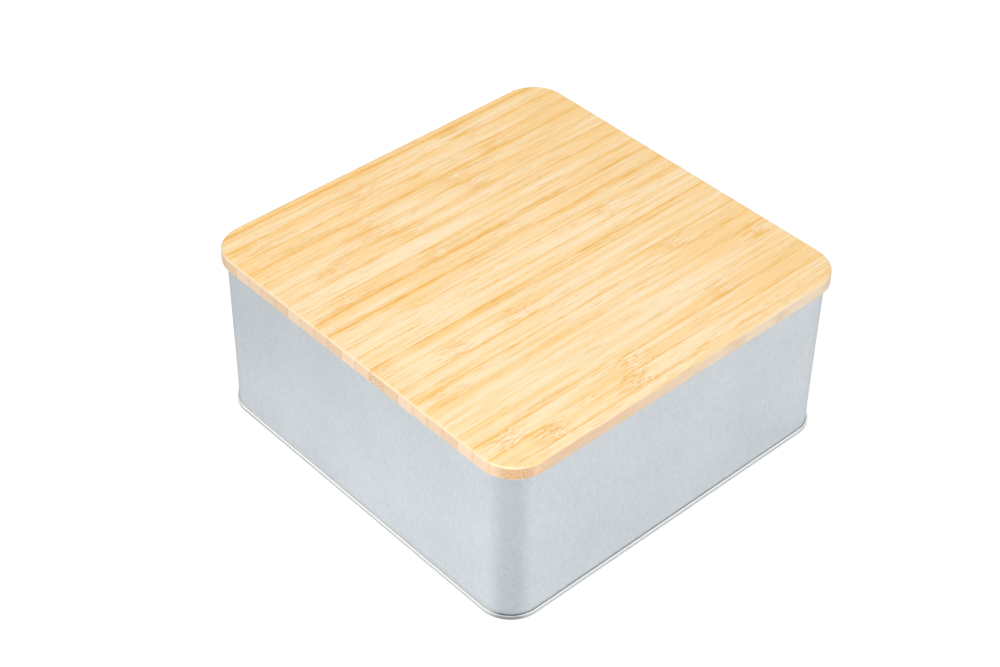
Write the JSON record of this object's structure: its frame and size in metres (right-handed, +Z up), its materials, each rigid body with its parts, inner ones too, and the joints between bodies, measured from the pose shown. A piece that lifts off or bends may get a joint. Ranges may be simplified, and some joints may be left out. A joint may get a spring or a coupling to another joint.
{
  "type": "tin box with wooden lid",
  "caption": "Square satin tinplate storage box with rounded corners, a double-seamed base and a lift-off plug lid of laminated bamboo strips with a silicone seal.",
  "frame": {"origin": "on the standing plane, under the middle of the box", "axes": "+Z up through the lid; +X along the lid's bamboo strips; -Y towards the front, with the wall's lock seam on the +Y face"},
  "size_m": [0.2, 0.2, 0.0896],
  "materials": {
    "tinplate": "satin",
    "bamboo": "satin",
    "silicone": "satin"
  },
  "bodies": {
    "tin": {"body_wall": "tinplate", "base_panel": "tinplate"},
    "lid": {"bamboo_strip_01": "bamboo", "bamboo_strip_02": "bamboo", "bamboo_strip_03": "bamboo", "bamboo_strip_04": "bamboo", "bamboo_strip_05": "bamboo", "bamboo_strip_06": "bamboo", "bamboo_strip_07": "bamboo", "bamboo_strip_08": "bamboo", "bamboo_strip_09": "bamboo", "bamboo_strip_10": "bamboo", "bamboo_strip_11": "bamboo", "bamboo_strip_12": "bamboo", "bamboo_strip_13": "bamboo", "bamboo_strip_14": "bamboo", "bamboo_strip_15": "bamboo", "bamboo_strip_16": "bamboo", "bamboo_strip_17": "bamboo", "bamboo_strip_18": "bamboo", "bamboo_strip_19": "bamboo", "bamboo_strip_20": "bamboo", "bamboo_strip_21": "bamboo", "bamboo_strip_22": "bamboo", "bamboo_strip_23": "bamboo", "lid_seal": "silicone"}
  },
  "joints": [
    {"name": "lid_lift", "type": "slide", "parent": "tin", "child": "lid", "axis": [0, 0, 1], "range_m": [0, 0.12]}
  ]
}
